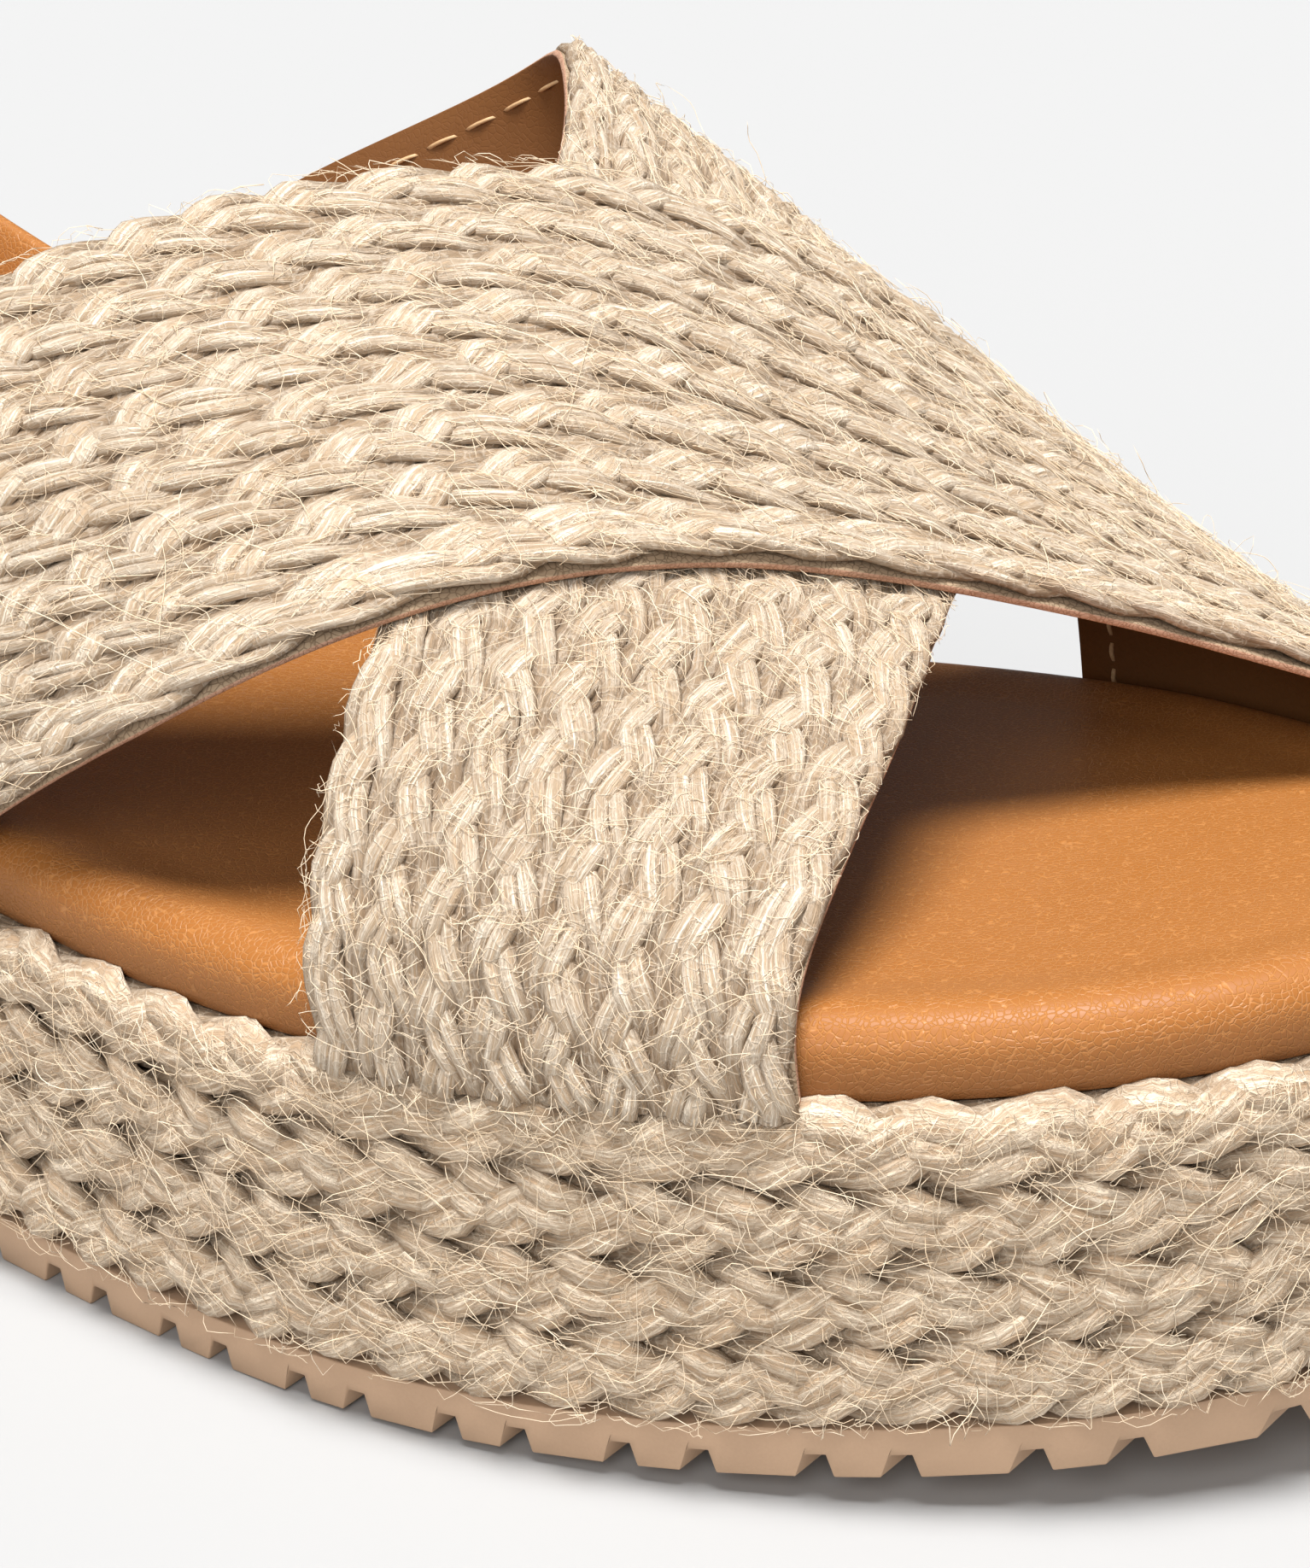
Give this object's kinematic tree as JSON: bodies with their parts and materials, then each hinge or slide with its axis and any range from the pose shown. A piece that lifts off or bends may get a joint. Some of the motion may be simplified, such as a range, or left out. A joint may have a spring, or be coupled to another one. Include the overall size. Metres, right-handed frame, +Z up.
{
  "type": "rope sandal",
  "caption": "Right-foot platform sandal with crossed rope-plait straps, a rope-wound platform, a padded leather footbed, a leather heel strap and a lugged rubber outsole.",
  "frame": {"origin": "centre of the bounding box's bottom face, on the floor under the lugs", "axes": "+X from heel to toe, +Y towards the inner (big toe) side, +Z up"},
  "size_m": [0.2506, 0.0978, 0.0932],
  "materials": {
    "outsole_rubber": "matte",
    "sole_rope": "matte fibrous",
    "footbed_leather": "semi-gloss, fine pebbled grain",
    "strap_rope": "matte with silky fibres",
    "strap_leather": "satin"
  },
  "bodies": {
    "root": {"outsole": "outsole_rubber", "midsole": "sole_rope", "insole": "footbed_leather", "upper": "strap_rope", "heel_strap": "strap_leather"}
  },
  "joints": []
}
